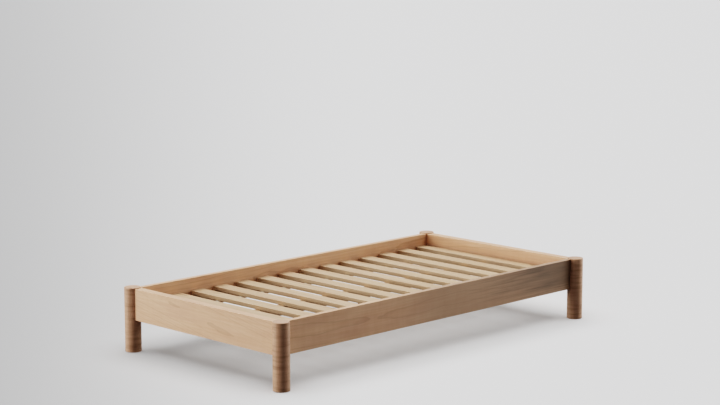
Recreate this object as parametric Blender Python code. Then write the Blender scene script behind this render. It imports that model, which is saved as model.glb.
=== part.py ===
"""Low platform bed frame for a single (twin) mattress: round posts, coped rails, slatted deck.

Units are metres. +Z is up, +Y points from the foot of the bed to its head and +X to the right of
someone who looks that way. The origin is on the floor, under the middle of the bed.

At each corner, u is measured inwards along X and v inwards along Y from the post's axis.
"""

import math

import bmesh
import bpy
from mathutils import Matrix, Vector

# ---------------------------------------------------------------- driving dimensions

GAP = 0.0003                 # left between two pieces that touch
CUT_BEYOND = 0.010           # how far a cutting shape runs past what it cuts

POST_SPACING_X = 1.022       # between post axes, across the bed
POST_SPACING_Y = 2.009       # between post axes, along the bed
POST_RADIUS = 0.0385
POST_TOP = 0.308
POST_ROUNDING = 0.003
POST_SIDES = 64

RAIL_UNDERSIDE = 0.154
RAIL_TOP = 0.3036
RAIL_ROUNDING = 0.002
END_RAIL_THICKNESS = 0.0434
END_RAIL_PROUD = 0.0143      # outer face, outside the plane of the post axes
SIDE_RAIL_THICKNESS = 0.028  # outer face lies on the plane of the post axes

TENON_THICKNESS = 0.016
TENON_BOTTOM = 0.205
TENON_TOP = 0.285
TENON_TIP = 0.016            # distance of a tenon's tip from the post's axis
TENON_ROOT = 0.060           # how far the tenon block reaches back inside its rail
END_TENON_OFFSET = 0.0       # v of the end rail's tenon
SIDE_TENON_OFFSET = 0.013    # u of the side rail's tenon

PAD_RADIUS = 0.030
PAD_THICKNESS = 0.004
PAD_SIDES = 40
PAD_PROUD = 0.001            # how far a floor pad stands out of its post

SLAT_COUNT = 14
SLAT_WIDTH = 0.075
SLAT_THICKNESS = 0.019
SLAT_TOP = 0.2456
SLAT_END_CLEARANCE = 0.003
SLAT_EDGE_MARGIN = 0.0125    # between an end rail and the nearest slat
SLAT_ROUNDING = 0.002

LEDGER_THICKNESS = 0.025
LEDGER_HEIGHT = 0.030

STRAP_X = 0.28
STRAP_WIDTH = 0.025
STRAP_THICKNESS = 0.0015
STRAP_INSET = 0.008          # from the outermost slats' outer edges

BEAM_WIDTH = 0.038
BEAM_HEIGHT = 0.045
STEEL = 0.003                # thickness of the sheet-steel fittings
HANGER_EAR = 0.022           # hanger back plate, beyond each cheek
HANGER_DEPTH = 0.040

LEG_RADIUS_TOP = 0.0190
LEG_RADIUS_FOOT = 0.0155
LEG_BOTTOM = 0.030
LEG_PLATE_LENGTH = 0.080
LEG_BORE_TOP = 0.080
LEG_CHAMFER = 0.0015
LEG_STRAIGHT = 0.030         # untapered length at the top
LEG_SIDES = 32

INSERT_RADIUS = 0.008
INSERT_LENGTH = 0.018
STUD_RADIUS = 0.005
STUD_BOTTOM = 0.0063
STUD_TOP = 0.062
STUD_CHAMFER = 0.001
STUD_SIDES = 24
FOOT_RADIUS = 0.021
FOOT_HEIGHT = 0.012
FOOT_ROUNDING = 0.006
LOCK_NUT_WIDTH = 0.017       # across flats
LOCK_NUT_HEIGHT = 0.006

BRACKET_BOTTOM = 0.159
BRACKET_TOP = 0.193
BRACKET_REACH = 0.053        # from the inner corner to each bend
BRACKET_FLANGE = 0.030
BOLT_RADIUS = 0.004
BOLT_START = 0.0105          # from the post's axis, along the diagonal
BOLT_TAIL = 0.013            # beyond the bracket
BOLT_POINT = 0.004
BOLT_SIDES = 16
BOLT_NUT_WIDTH = 0.013       # across flats
BOLT_NUT_HEIGHT = 0.0065

SCREW_HEAD_RADIUS = 0.004
SCREW_SHANK_RADIUS = 0.002
SCREW_LENGTH = 0.032
SCREW_POINT = 0.004
SCREW_SIDES = 12
SCREW_INSET = 0.016          # from a slat's end

# ---------------------------------------------------------------- derived sizes

HALF_X = POST_SPACING_X / 2
HALF_Y = POST_SPACING_Y / 2
INNER_X = HALF_X - SIDE_RAIL_THICKNESS
INNER_Y = HALF_Y + END_RAIL_PROUD - END_RAIL_THICKNESS
SIDE_RAIL_INNER_U = HALF_X - INNER_X
END_RAIL_INNER_V = HALF_Y - INNER_Y
RAIL_MIDDLE_Z = (RAIL_UNDERSIDE + RAIL_TOP) / 2
RAIL_HEIGHT = RAIL_TOP - RAIL_UNDERSIDE
SLAT_BOTTOM = SLAT_TOP - SLAT_THICKNESS
DECK_SUPPORT_TOP = SLAT_BOTTOM - GAP
BEAM_BOTTOM = DECK_SUPPORT_TOP - BEAM_HEIGHT
BEAM_END_Y = INNER_Y - STEEL - 2 * GAP
LEG_TOP = BEAM_BOTTOM - STEEL - 2 * GAP
FIRST_SLAT_Y = INNER_Y - SLAT_EDGE_MARGIN - SLAT_WIDTH / 2
BOLT_Z = (BRACKET_BOTTOM + BRACKET_TOP) / 2
BRACKET_DIAGONAL = (BRACKET_REACH + SIDE_RAIL_INNER_U + END_RAIL_INNER_V + GAP) / math.sqrt(2)
BOLT_END = BRACKET_DIAGONAL + STEEL + BOLT_TAIL

SIDES = {"left": -1, "right": 1}
ENDS = {"foot": -1, "head": 1}


# ---------------------------------------------------------------- helpers

def clear_scene():
    """Start from an empty scene."""
    for obj in list(bpy.data.objects):
        bpy.data.objects.remove(obj, do_unlink=True)


def principled(name, colour, roughness, metallic=0.0):
    """Return a plain Principled material."""
    material = bpy.data.materials.new(name)
    material.use_nodes = True
    shader = material.node_tree.nodes["Principled BSDF"]
    shader.inputs["Base Color"].default_value = (*colour, 1.0)
    shader.inputs["Roughness"].default_value = roughness
    shader.inputs["Metallic"].default_value = metallic
    return material


def add_object(name, mesh_builder, material=None, location=(0, 0, 0), rotation_z=0.0):
    """Turn a bmesh into a named object at a place in the scene."""
    bmesh.ops.recalc_face_normals(mesh_builder, faces=mesh_builder.faces)
    mesh = bpy.data.meshes.new(name)
    mesh_builder.to_mesh(mesh)
    mesh_builder.free()
    obj = bpy.data.objects.new(name, mesh)
    obj.location = location
    obj.rotation_euler = (0, 0, rotation_z)
    if material:
        mesh.materials.append(material)
    bpy.context.collection.objects.link(obj)
    return obj


def shade_round(obj):
    """Shade the curved sides smooth and keep the real edges crisp."""
    obj.data.shade_smooth()
    obj.data.set_sharp_from_angle(angle=math.radians(35))


def box(low, high):
    """Return a bmesh box between two corners."""
    shape = bmesh.new()
    bmesh.ops.create_cube(shape, size=1.0)
    low = Vector(low)
    high = Vector(high)
    bmesh.ops.scale(shape, vec=high - low, verts=shape.verts)
    bmesh.ops.translate(shape, vec=(high + low) / 2, verts=shape.verts)
    return shape


def ring(shape, radius, z, sides):
    """Add one horizontal ring of points round the Z axis."""
    points = []
    for index in range(sides):
        angle = math.tau * index / sides
        points.append(shape.verts.new((radius * math.cos(angle), radius * math.sin(angle), z)))
    return points


def join_rings(shape, lower, upper):
    """Add the faces between two rings."""
    for index in range(len(lower)):
        following = (index + 1) % len(lower)
        shape.faces.new([lower[index], lower[following], upper[following], upper[index]])


def lathe(profile, sides):
    """Return a turned solid with flat ends from the (radius, z) points of its outline."""
    shape = bmesh.new()
    rings = [ring(shape, radius, z, sides) for radius, z in profile]
    for lower, upper in zip(rings, rings[1:]):
        join_rings(shape, lower, upper)
    shape.faces.new(rings[0])
    shape.faces.new(rings[-1])
    return shape


def tube(outer, inner, bottom, top, sides):
    """Return a round tube along Z."""
    shape = bmesh.new()
    outline = [(outer, bottom), (outer, top), (inner, top), (inner, bottom)]
    rings = [ring(shape, radius, z, sides) for radius, z in outline]
    for lower, upper in zip(rings, rings[1:] + rings[:1]):
        join_rings(shape, lower, upper)
    return shape


def quarter_arc(centre, radius, start_degrees, steps=4):
    """Return the points of a quarter circle in a turned profile."""
    points = []
    for step in range(steps + 1):
        angle = math.radians(start_degrees + 90 * step / steps)
        points.append((centre[0] + radius * math.cos(angle), centre[1] + radius * math.sin(angle)))
    return points


def prism(outline, bottom, top):
    """Return a solid with a flat outline, standing between two heights."""
    shape = bmesh.new()
    face = shape.faces.new([shape.verts.new((x, y, bottom)) for x, y in outline])
    extruded = bmesh.ops.extrude_face_region(shape, geom=[face])
    moved = [item for item in extruded["geom"] if isinstance(item, bmesh.types.BMVert)]
    bmesh.ops.translate(shape, vec=(0, 0, top - bottom), verts=moved)
    return shape


def hexagon(width):
    """Return the corners of a hexagon from its width across flats."""
    corner = width / math.sqrt(3)
    return [(corner * math.cos(math.radians(60 * k)), corner * math.sin(math.radians(60 * k)))
            for k in range(6)]


def along(shape, start, direction):
    """Move a shape made along +Z so that it starts at a point and runs along a direction."""
    turn = Vector(direction).to_track_quat("Z", "Y").to_matrix().to_4x4()
    bmesh.ops.transform(shape, matrix=Matrix.Translation(start) @ turn, verts=shape.verts)
    return shape


def guide(name, shape):
    """Add a shape that only cuts or extends another piece."""
    obj = add_object(name, shape)
    obj.hide_render = True
    obj.display_type = "WIRE"
    return obj


def combine(piece, tool, operation="DIFFERENCE"):
    """Cut one piece with another shape, or join the shape to it."""
    modifier = piece.modifiers.new(operation.title() + " " + tool.name, "BOOLEAN")
    modifier.operation = operation
    modifier.solver = "EXACT"
    modifier.object = tool


def round_edges(piece, width, segments=3):
    """Round the sharp edges of a piece."""
    modifier = piece.modifiers.new("Rounded edges", "BEVEL")
    modifier.width = width
    modifier.segments = segments
    modifier.limit_method = "ANGLE"
    modifier.angle_limit = math.radians(35)


def corner_xy(side, end, u, v):
    """Return the place that lies u and v inwards from one post's axis."""
    return (side * (HALF_X - u), end * (HALF_Y - v))


def corners():
    """Give each corner's name and the signs of its X and Y."""
    for end_name, end in ENDS.items():
        for side_name, side in SIDES.items():
            yield f"{end_name}_{side_name}", side, end


# ---------------------------------------------------------------- shared cutting shapes

def post_sleeve(name, side, end):
    """Return the round shape that a rail's end is coped with."""
    reach = POST_RADIUS + GAP
    bottom = RAIL_UNDERSIDE - CUT_BEYOND
    top = RAIL_TOP + CUT_BEYOND
    shape = lathe([(reach, bottom), (reach, top)], POST_SIDES)
    bmesh.ops.translate(shape, vec=(*corner_xy(side, end, 0, 0), 0), verts=shape.verts)
    return guide(f"cope_{name}", shape)


def bolt_hole(name, side, end):
    """Return the drill shape for a corner's hanger bolt."""
    radius = BOLT_RADIUS + GAP
    start = (*corner_xy(side, end, 0, 0), BOLT_Z)
    shape = lathe([(radius, BOLT_START - GAP), (radius, BOLT_END + CUT_BEYOND)], BOLT_SIDES)
    return guide(f"bolt_hole_{name}", along(shape, start, (-side, -end, 0)))


def span(first, second, half_width):
    """Return the low and high ends of a range, whichever way round it is given."""
    return min(first, second) - half_width, max(first, second) + half_width


def end_tenon_box(side, end, allowance):
    """Return an end rail's tenon, or its mortise when there is an allowance."""
    tip, middle = corner_xy(side, end, TENON_TIP, END_TENON_OFFSET)
    root, _ = corner_xy(side, end, TENON_ROOT, END_TENON_OFFSET)
    low_x, high_x = span(tip, root, allowance)
    half = TENON_THICKNESS / 2 + allowance
    return box((low_x, middle - half, TENON_BOTTOM - allowance),
               (high_x, middle + half, TENON_TOP + allowance))


def side_tenon_box(side, end, allowance):
    """Return a side rail's tenon, or its mortise when there is an allowance."""
    middle, tip = corner_xy(side, end, SIDE_TENON_OFFSET, TENON_TIP)
    _, root = corner_xy(side, end, SIDE_TENON_OFFSET, TENON_ROOT)
    low_y, high_y = span(tip, root, allowance)
    half = TENON_THICKNESS / 2 + allowance
    return box((middle - half, low_y, TENON_BOTTOM - allowance),
               (middle + half, high_y, TENON_TOP + allowance))


# ---------------------------------------------------------------- posts and floor pads

def make_posts(wood, drills):
    """Four round posts with mortises, a bolt hole and a shallow recess for the floor pad."""
    recess = PAD_THICKNESS + GAP
    bottom = PAD_PROUD
    rounding = POST_ROUNDING
    profile = [(PAD_RADIUS + GAP, recess), (PAD_RADIUS + GAP, bottom)]
    profile += quarter_arc((POST_RADIUS - rounding, bottom + rounding), rounding, -90)
    profile += quarter_arc((POST_RADIUS - rounding, POST_TOP - rounding), rounding, 0)
    for name, side, end in corners():
        location = (*corner_xy(side, end, 0, 0), 0)
        post = add_object(f"post_{name}", lathe(profile, POST_SIDES), wood, location)
        shade_round(post)
        combine(post, guide(f"end_mortise_{name}", end_tenon_box(side, end, GAP)))
        combine(post, guide(f"side_mortise_{name}", side_tenon_box(side, end, GAP)))
        combine(post, drills[name])


def make_floor_pads(felt):
    """A felt disc let into the foot of each post."""
    profile = [(PAD_RADIUS, 0), (PAD_RADIUS, PAD_THICKNESS)]
    for name, side, end in corners():
        location = (*corner_xy(side, end, 0, 0), 0)
        shade_round(add_object(f"floor_pad_{name}", lathe(profile, PAD_SIDES), felt, location))


# ---------------------------------------------------------------- rails

def make_end_rails(wood, copes, drills):
    """Foot and head rails: thick boards that stand slightly outside the post axes."""
    middle_v = END_RAIL_INNER_V - END_RAIL_THICKNESS / 2
    for end_name, end in ENDS.items():
        centre = Vector((0, end * (HALF_Y - middle_v), RAIL_MIDDLE_Z))
        half = Vector((HALF_X, END_RAIL_THICKNESS / 2, RAIL_HEIGHT / 2))
        rail = add_object(f"{end_name}_rail", box(centre - half, centre + half), wood)
        for side_name in SIDES:
            combine(rail, copes[f"{end_name}_{side_name}"])
        round_edges(rail, RAIL_ROUNDING)
        for side_name, side in SIDES.items():
            name = f"{end_name}_{side_name}"
            combine(rail, guide(f"end_tenon_{name}", end_tenon_box(side, end, 0)), "UNION")
            combine(rail, drills[name])


def make_side_rails(wood, copes, drills):
    """Side rails: thinner boards whose ends are coped, and squared where they meet an end rail."""
    for side_name, side in SIDES.items():
        centre = Vector((side * (HALF_X + INNER_X) / 2, 0, RAIL_MIDDLE_Z))
        half = Vector((SIDE_RAIL_THICKNESS / 2, INNER_Y - GAP, RAIL_HEIGHT / 2))
        rail = add_object(f"side_rail_{side_name}", box(centre - half, centre + half), wood)
        for end_name in ENDS:
            combine(rail, copes[f"{end_name}_{side_name}"])
        round_edges(rail, RAIL_ROUNDING)
        for end_name, end in ENDS.items():
            name = f"{end_name}_{side_name}"
            combine(rail, guide(f"side_tenon_{name}", side_tenon_box(side, end, 0)), "UNION")
            combine(rail, drills[name])


# ---------------------------------------------------------------- deck

def make_ledgers(wood):
    """A ledger strip along the inside of each side rail, which the slats lie on."""
    for side_name, side in SIDES.items():
        middle = side * (INNER_X - GAP - LEDGER_THICKNESS / 2)
        half = LEDGER_THICKNESS / 2
        low = (middle - half, -INNER_Y + GAP, DECK_SUPPORT_TOP - LEDGER_HEIGHT)
        high = (middle + half, INNER_Y - GAP, DECK_SUPPORT_TOP)
        round_edges(add_object(f"ledger_{side_name}", box(low, high), wood), SLAT_ROUNDING / 2, 2)


def slat_positions():
    """Return the Y of each slat's middle, evenly spaced from foot to head."""
    pitch = 2 * FIRST_SLAT_Y / (SLAT_COUNT - 1)
    return [-FIRST_SLAT_Y + pitch * index for index in range(SLAT_COUNT)]


def make_slats(wood, screw_holes):
    """Flat slats across the bed. The outermost two are screwed to the ledgers."""
    half_length = INNER_X - SLAT_END_CLEARANCE
    half = Vector((half_length, SLAT_WIDTH / 2, SLAT_THICKNESS / 2))
    middle_z = (SLAT_TOP + SLAT_BOTTOM) / 2
    for number, y in enumerate(slat_positions(), start=1):
        shape = box(-half, half)
        slat = add_object(f"slat_{number:02d}", shape, wood, (0, y, middle_z))
        round_edges(slat, SLAT_ROUNDING, 2)
        for hole in screw_holes.get(number, []):
            combine(slat, hole)


def screw_profile(allowance):
    """Return the outline of a countersunk screw, point down, with its head at height 0."""
    head = SCREW_HEAD_RADIUS + allowance
    shank = SCREW_SHANK_RADIUS + allowance
    cone = SCREW_HEAD_RADIUS - SCREW_SHANK_RADIUS
    tip = -SCREW_LENGTH - allowance
    return [(shank / 2, tip), (shank, tip + SCREW_POINT), (shank, -cone), (head, 0)]


def screw_places():
    """Give each end slat's screws: name, slat number and the place of the head."""
    inset = INNER_X - SLAT_END_CLEARANCE - SCREW_INSET
    for end_name, number, y in (("foot", 1, -FIRST_SLAT_Y), ("head", SLAT_COUNT, FIRST_SLAT_Y)):
        for side_name, side in SIDES.items():
            yield f"{end_name}_{side_name}", number, side_name, (side * inset, y, SLAT_TOP)


def make_screws(steel):
    """Screws that hold the end slats down. Returns the drill shapes for slats and ledgers."""
    in_slats = {}
    for name, number, side_name, place in screw_places():
        screw = lathe(screw_profile(0), SCREW_SIDES)
        sunk = Vector(place) - Vector((0, 0, GAP))
        shade_round(add_object(f"slat_screw_{name}", screw, steel, sunk))
        clearance = screw_profile(GAP)
        drill = lathe(clearance + [(clearance[-1][0], CUT_BEYOND)], SCREW_SIDES)
        bmesh.ops.translate(drill, vec=sunk, verts=drill.verts)
        hole = guide(f"screw_hole_{name}", drill)
        in_slats.setdefault(number, []).append(hole)
        combine(bpy.data.objects[f"ledger_{side_name}"], hole)
    return in_slats


def make_straps(webbing):
    """Two flat straps under the slats that keep them at an even spacing."""
    top = SLAT_BOTTOM - GAP
    reach = FIRST_SLAT_Y + SLAT_WIDTH / 2 - STRAP_INSET
    for side_name, side in SIDES.items():
        middle = side * STRAP_X
        low = (middle - STRAP_WIDTH / 2, -reach, top - STRAP_THICKNESS)
        high = (middle + STRAP_WIDTH / 2, reach, top)
        add_object(f"slat_strap_{side_name}", box(low, high), webbing)


# ---------------------------------------------------------------- centre beam and leg

def make_beam(wood):
    """The beam under the middle of the slats, carried by a steel hanger at each end."""
    low = (-BEAM_WIDTH / 2, -BEAM_END_Y, BEAM_BOTTOM)
    high = (BEAM_WIDTH / 2, BEAM_END_Y, DECK_SUPPORT_TOP)
    round_edges(add_object("centre_beam", box(low, high), wood), SLAT_ROUNDING, 2)


def make_hangers(steel):
    """A bent steel stirrup on the inside of each end rail: back plate, cheeks and shelf."""
    inside = BEAM_WIDTH / 2 + GAP
    outside = inside + STEEL
    shelf_bottom = BEAM_BOTTOM - GAP - STEEL
    for end_name, end in ENDS.items():
        face = end * (INNER_Y - GAP)
        front = face - end * STEEL
        tip = face - end * HANGER_DEPTH
        low_y, high_y = span(face, front, 0)
        plate = box((-outside - HANGER_EAR, low_y, shelf_bottom),
                    (outside + HANGER_EAR, high_y, DECK_SUPPORT_TOP))
        hanger = add_object(f"beam_hanger_{end_name}", plate, steel)
        low_y, high_y = span(face - end * STEEL / 2, tip, 0)
        channel = [(-outside, shelf_bottom), (outside, shelf_bottom),
                   (outside, DECK_SUPPORT_TOP - STEEL), (inside, DECK_SUPPORT_TOP - STEEL),
                   (inside, shelf_bottom + STEEL), (-inside, shelf_bottom + STEEL),
                   (-inside, DECK_SUPPORT_TOP - STEEL), (-outside, DECK_SUPPORT_TOP - STEEL)]
        shape = prism(channel, 0, high_y - low_y)
        upright = Matrix(((1, 0, 0, 0), (0, 0, 1, low_y), (0, 1, 0, 0), (0, 0, 0, 1)))
        bmesh.ops.transform(shape, matrix=upright, verts=shape.verts)
        combine(hanger, guide(f"hanger_channel_{end_name}", shape), "UNION")


def make_centre_leg(wood, steel, bright_steel, plastic):
    """The leg under the beam, with a screw-in foot that levels it."""
    plate_top = BEAM_BOTTOM - GAP
    plate = box((-BEAM_WIDTH / 2, -LEG_PLATE_LENGTH / 2, plate_top - STEEL),
                (BEAM_WIDTH / 2, LEG_PLATE_LENGTH / 2, plate_top))
    add_object("leg_plate", plate, steel)

    bore = STUD_RADIUS + GAP
    counterbore = INSERT_RADIUS + GAP
    insert_top = LEG_BOTTOM + INSERT_LENGTH
    profile = [(bore, LEG_BORE_TOP), (bore, insert_top + GAP),
               (counterbore, insert_top + GAP), (counterbore, LEG_BOTTOM),
               (LEG_RADIUS_FOOT - LEG_CHAMFER, LEG_BOTTOM),
               (LEG_RADIUS_FOOT, LEG_BOTTOM + LEG_CHAMFER),
               (LEG_RADIUS_TOP, LEG_TOP - LEG_STRAIGHT), (LEG_RADIUS_TOP, LEG_TOP)]
    shade_round(add_object("centre_leg", lathe(profile, LEG_SIDES), wood))

    insert = tube(INSERT_RADIUS, bore, LEG_BOTTOM, insert_top, STUD_SIDES)
    shade_round(add_object("leg_insert", insert, bright_steel))

    axis = bpy.data.objects.new("leveller_axis", None)
    bpy.context.collection.objects.link(axis)
    stud = lathe([(STUD_RADIUS, STUD_BOTTOM), (STUD_RADIUS, STUD_TOP - STUD_CHAMFER),
                  (STUD_RADIUS - STUD_CHAMFER, STUD_TOP)], STUD_SIDES)
    shoulder = FOOT_HEIGHT - FOOT_ROUNDING
    foot = [(FOOT_RADIUS - STUD_CHAMFER, 0), (FOOT_RADIUS, STUD_CHAMFER)]
    foot += quarter_arc((FOOT_RADIUS - FOOT_ROUNDING, shoulder), FOOT_ROUNDING, 0)
    foot += [(bore, FOOT_HEIGHT), (bore, STUD_BOTTOM - GAP)]
    nut_bottom = FOOT_HEIGHT + GAP
    nut_top = nut_bottom + LOCK_NUT_HEIGHT
    nut = prism(hexagon(LOCK_NUT_WIDTH), nut_bottom, nut_top)
    hole = lathe([(bore, nut_bottom - CUT_BEYOND), (bore, nut_top + CUT_BEYOND)], STUD_SIDES)
    pieces = [add_object("leveller_stud", stud, bright_steel),
              add_object("leveller_foot", lathe(foot, LEG_SIDES), plastic),
              add_object("leveller_nut", nut, bright_steel)]
    combine(pieces[2], guide("leveller_nut_bore", hole))
    shade_round(pieces[0])
    shade_round(pieces[1])
    for piece in pieces:
        piece.parent = axis


# ---------------------------------------------------------------- corner fittings

def bracket_outline(side, end):
    """Return a corner bracket seen from above: two flanges joined by a diagonal web."""
    bend = STEEL * (math.sqrt(2) - 1)
    reach = BRACKET_REACH
    flange = BRACKET_REACH + BRACKET_FLANGE
    inner = GAP + STEEL
    outline = [(flange, GAP), (reach, GAP), (GAP, reach), (GAP, flange),
               (inner, flange), (inner, reach + bend), (reach + bend, inner), (flange, inner)]
    return [corner_xy(side, end, SIDE_RAIL_INNER_U + a, END_RAIL_INNER_V + b) for a, b in outline]


def make_corner_fittings(steel, bright_steel, drills):
    """A steel bracket across each inner corner, drawn to the post by a hanger bolt and nut."""
    for name, side, end in corners():
        inwards = (-side, -end, 0)
        start = (*corner_xy(side, end, 0, 0), BOLT_Z)
        shape = prism(bracket_outline(side, end), BRACKET_BOTTOM, BRACKET_TOP)
        combine(add_object(f"corner_bracket_{name}", shape, steel), drills[name])

        bolt = lathe([(BOLT_RADIUS / 2, BOLT_START), (BOLT_RADIUS, BOLT_START + BOLT_POINT),
                      (BOLT_RADIUS, BOLT_END)], BOLT_SIDES)
        shade_round(add_object(f"hanger_bolt_{name}", along(bolt, start, inwards), bright_steel))

        seat = BRACKET_DIAGONAL + STEEL + GAP
        nut = along(prism(hexagon(BOLT_NUT_WIDTH), seat, seat + BOLT_NUT_HEIGHT), start, inwards)
        combine(add_object(f"bolt_nut_{name}", nut, bright_steel), drills[name])


# ---------------------------------------------------------------- assembly

def main():
    """Build the whole bed frame."""
    clear_scene()
    frame_wood = principled("frame_wood", (0.56, 0.40, 0.27), 0.45)
    deck_wood = principled("deck_wood", (0.66, 0.50, 0.33), 0.60)
    black_steel = principled("black_steel", (0.03, 0.03, 0.032), 0.45, 0.6)
    zinc_steel = principled("zinc_steel", (0.62, 0.63, 0.64), 0.30, 1.0)
    felt = principled("felt", (0.16, 0.13, 0.11), 0.95)
    webbing = principled("webbing", (0.60, 0.57, 0.50), 0.85)
    foot_plastic = principled("foot_plastic", (0.04, 0.04, 0.042), 0.50)

    copes = {name: post_sleeve(name, side, end) for name, side, end in corners()}
    drills = {name: bolt_hole(name, side, end) for name, side, end in corners()}
    make_posts(frame_wood, drills)
    make_floor_pads(felt)
    make_end_rails(frame_wood, copes, drills)
    make_side_rails(frame_wood, copes, drills)
    make_ledgers(deck_wood)
    screw_holes = make_screws(zinc_steel)
    make_slats(deck_wood, screw_holes)
    make_straps(webbing)
    make_beam(deck_wood)
    make_hangers(black_steel)
    make_centre_leg(deck_wood, black_steel, zinc_steel, foot_plastic)
    make_corner_fittings(black_steel, zinc_steel, drills)


main()
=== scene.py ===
"""Looks of the wooden platform bed frame: real timber, steel, felt and webbing around the CAD frame.

Units are metres. +Z is up, +Y points from the foot of the bed to its head and +X to its right.
"""

import math
import random

import bmesh
import bpy
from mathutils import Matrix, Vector


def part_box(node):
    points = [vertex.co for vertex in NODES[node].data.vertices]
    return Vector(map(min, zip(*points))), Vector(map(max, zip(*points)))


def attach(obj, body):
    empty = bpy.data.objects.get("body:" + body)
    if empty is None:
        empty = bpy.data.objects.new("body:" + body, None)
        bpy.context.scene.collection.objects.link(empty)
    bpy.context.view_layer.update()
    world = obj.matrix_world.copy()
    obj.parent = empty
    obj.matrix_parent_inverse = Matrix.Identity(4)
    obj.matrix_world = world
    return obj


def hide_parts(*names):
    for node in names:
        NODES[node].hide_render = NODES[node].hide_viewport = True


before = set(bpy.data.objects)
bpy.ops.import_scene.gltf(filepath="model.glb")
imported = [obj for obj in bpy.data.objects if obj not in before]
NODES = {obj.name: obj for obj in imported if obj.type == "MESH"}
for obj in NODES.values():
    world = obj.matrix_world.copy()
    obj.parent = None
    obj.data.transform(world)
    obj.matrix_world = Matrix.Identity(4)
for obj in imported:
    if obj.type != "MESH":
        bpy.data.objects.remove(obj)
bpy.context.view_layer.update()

# ---------------------------------------------------------------- places taken from the frame

SIDES = {"left": -1, "right": 1}
ENDS = {"foot": -1, "head": 1}
CORNERS = [f"{end}_{side}" for end in ENDS for side in SIDES]
SLATS = sorted(name for name in NODES if name.startswith("slat_") and name[5:].isdigit())


def middle(node):
    """Return the middle of a CAD node's box."""
    low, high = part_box(node)
    return (Vector(low) + Vector(high)) / 2


def size(node):
    """Return the size of a CAD node's box."""
    low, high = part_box(node)
    return Vector(high) - Vector(low)


# ---------------------------------------------------------------- camera

CAMERA_PLACE = (6.708, -6.720, 2.249)
CAMERA_TURN = math.radians(45)       # to the left of the +Y direction
CAMERA_DIP = math.radians(9.572)     # below the horizon
CAMERA_LENS = 100.0
CAMERA_SENSOR = 36.0
CAMERA_REACH = 200                   # far enough for the whole floor


def make_camera():
    """Look at the foot corner of the bed from a low viewpoint, through a long lens."""
    data = bpy.data.cameras.new("camera")
    data.lens = CAMERA_LENS
    data.sensor_width = CAMERA_SENSOR
    data.clip_end = CAMERA_REACH
    camera = bpy.data.objects.new("camera", data)
    camera.location = CAMERA_PLACE
    camera.rotation_euler = (math.pi / 2 - CAMERA_DIP, 0, CAMERA_TURN)
    bpy.context.scene.collection.objects.link(camera)
    bpy.context.scene.camera = camera


# ---------------------------------------------------------------- shader nodes

class Shader:
    """Builds one material's node tree. Most methods return an output socket."""

    def __init__(self, name):
        self.material = bpy.data.materials.new(name)
        self.material.use_nodes = True
        self.tree = self.material.node_tree
        self.surface = self.tree.nodes["Principled BSDF"]

    def add(self, kind, inputs, output=0, **settings):
        """Add a node, set its properties, and link or set its inputs."""
        node = self.tree.nodes.new(kind)
        for key, value in settings.items():
            setattr(node, key, value)
        for key, value in inputs.items():
            self.plug(value, node.inputs[key])
        return node.outputs[output]

    def plug(self, value, socket):
        """Link a socket, or set a constant."""
        if isinstance(value, bpy.types.NodeSocket):
            self.tree.links.new(value, socket)
        else:
            socket.default_value = value

    def math(self, operation, first, second=0.0, third=0.0, clamp=False):
        """Combine two or three numbers."""
        inputs = {0: first, 1: second, 2: third}
        return self.add("ShaderNodeMath", inputs, operation=operation, use_clamp=clamp)

    def vector(self, operation, first, second):
        """Combine two vectors."""
        return self.add("ShaderNodeVectorMath", {0: first, 1: second}, operation=operation)

    def place(self):
        """Return the object's own coordinates, in metres."""
        return self.add("ShaderNodeTexCoord", {}, "Object")

    def split(self, vector):
        """Return a vector's three parts."""
        node = self.tree.nodes.new("ShaderNodeSeparateXYZ")
        self.plug(vector, node.inputs[0])
        return list(node.outputs)

    def join(self, x, y, z):
        """Return a vector from three numbers."""
        return self.add("ShaderNodeCombineXYZ", {0: x, 1: y, 2: z})

    def stretch(self, parts, scales, shift=0.0):
        """Scale three coordinates, each by its own factor, and shift the first one."""
        first = self.math("MULTIPLY_ADD", parts[0], scales[0], shift)
        return self.join(first, self.math("MULTIPLY", parts[1], scales[1]),
                         self.math("MULTIPLY", parts[2], scales[2]))

    def noise(self, vector, detail=2.0, roughness=0.5, distortion=0.0):
        """Return smooth noise from 0 to 1."""
        inputs = {"Vector": vector, "Scale": 1.0, "Detail": detail, "Roughness": roughness,
                  "Distortion": distortion}
        return self.add("ShaderNodeTexNoise", inputs)

    def remap(self, value, low, high, new_low=0.0, new_high=1.0):
        """Stretch a range smoothly onto another one."""
        inputs = {"Value": value, "From Min": low, "From Max": high,
                  "To Min": new_low, "To Max": new_high}
        return self.add("ShaderNodeMapRange", inputs, interpolation_type="SMOOTHSTEP")

    def mix(self, amount, first, second):
        """Mix two colours."""
        node = self.tree.nodes.new("ShaderNodeMix")
        node.data_type = "RGBA"
        self.plug(amount, node.inputs["Factor"])
        self.plug(first, node.inputs[6])
        self.plug(second, node.inputs[7])
        return node.outputs[2]

    def bump(self, height, distance, strength=1.0):
        """Turn a height from 0 to 1 into a bumped normal."""
        inputs = {"Height": height, "Distance": distance, "Strength": strength}
        return self.add("ShaderNodeBump", inputs)

    def finish(self, **inputs):
        """Set the surface's own inputs. An underscore in a name stands for a space."""
        for key, value in inputs.items():
            self.plug(value, self.surface.inputs[key.replace("_", " ")])
        return self.material


def rgb(red, green, blue):
    """Return an opaque colour."""
    return (red, green, blue, 1.0)


# ---------------------------------------------------------------- timber

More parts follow.
